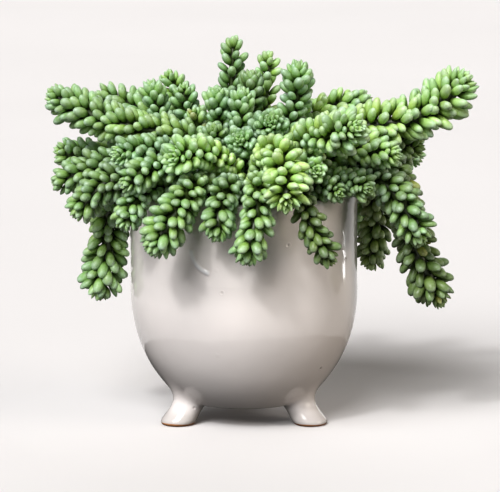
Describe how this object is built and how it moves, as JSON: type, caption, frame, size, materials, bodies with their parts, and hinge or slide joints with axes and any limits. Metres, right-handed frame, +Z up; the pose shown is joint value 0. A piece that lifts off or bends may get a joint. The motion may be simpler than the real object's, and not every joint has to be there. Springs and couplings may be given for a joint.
{
  "type": "potted burrito sedum",
  "caption": "Trailing succulent with ropes of plump bead-like leaves spilling from a round glazed pot on short feet.",
  "frame": {"origin": "on the ground, below the middle of the whole object's box; the pot's axis is 10 mm to the left of it, at x = -0.010, because the plant reaches further to the right", "axes": "+Z up; +X to the right along the plant's longest spread; -Y towards the viewer of the picture"},
  "size_m": [0.2884, 0.2281, 0.2547],
  "materials": {
    "glaze": "glossy off-white glaze",
    "potting_mix": "dark, rough potting mix",
    "leaves": "smooth waxy leaf with a pale bloom"
  },
  "bodies": {
    "root": {"pot": "glaze", "soil": "potting_mix", "stem_back_1": "leaves", "stem_back_10": "leaves", "stem_back_2": "leaves", "stem_back_3": "leaves", "stem_back_4": "leaves", "stem_back_5": "leaves", "stem_back_6": "leaves", "stem_back_7": "leaves", "stem_back_8": "leaves", "stem_back_9": "leaves", "stem_back_left": "leaves", "stem_back_pale": "leaves", "stem_back_right": "leaves", "stem_back_side": "leaves", "stem_centre_rosette": "leaves", "stem_centre_small": "leaves", "stem_crown_dark": "leaves", "stem_crown_front": "leaves", "stem_crown_left": "leaves", "stem_crown_mid_left": "leaves", "stem_crown_right": "leaves", "stem_crown_rosette": "leaves", "stem_crown_second": "leaves", "stem_crown_side": "leaves", "stem_crown_tall": "leaves", "stem_crown_yellow": "leaves", "stem_front_bud": "leaves", "stem_front_drop": "leaves", "stem_front_left": "leaves", "stem_front_main": "leaves", "stem_front_pale": "leaves", "stem_front_shade": "leaves", "stem_front_short": "leaves", "stem_left_corner": "leaves", "stem_left_front": "leaves", "stem_left_hanging": "leaves", "stem_left_long": "leaves", "stem_left_low": "leaves", "stem_left_reach": "leaves", "stem_left_rosette": "leaves", "stem_left_under": "leaves", "stem_right_back": "leaves", "stem_right_bud": "leaves", "stem_right_fall": "leaves", "stem_right_front": "leaves", "stem_right_hanging": "leaves", "stem_right_long": "leaves", "stem_right_pale": "leaves", "stem_right_rosette": "leaves", "stem_right_side": "leaves", "stem_right_under": "leaves"}
  },
  "joints": []
}
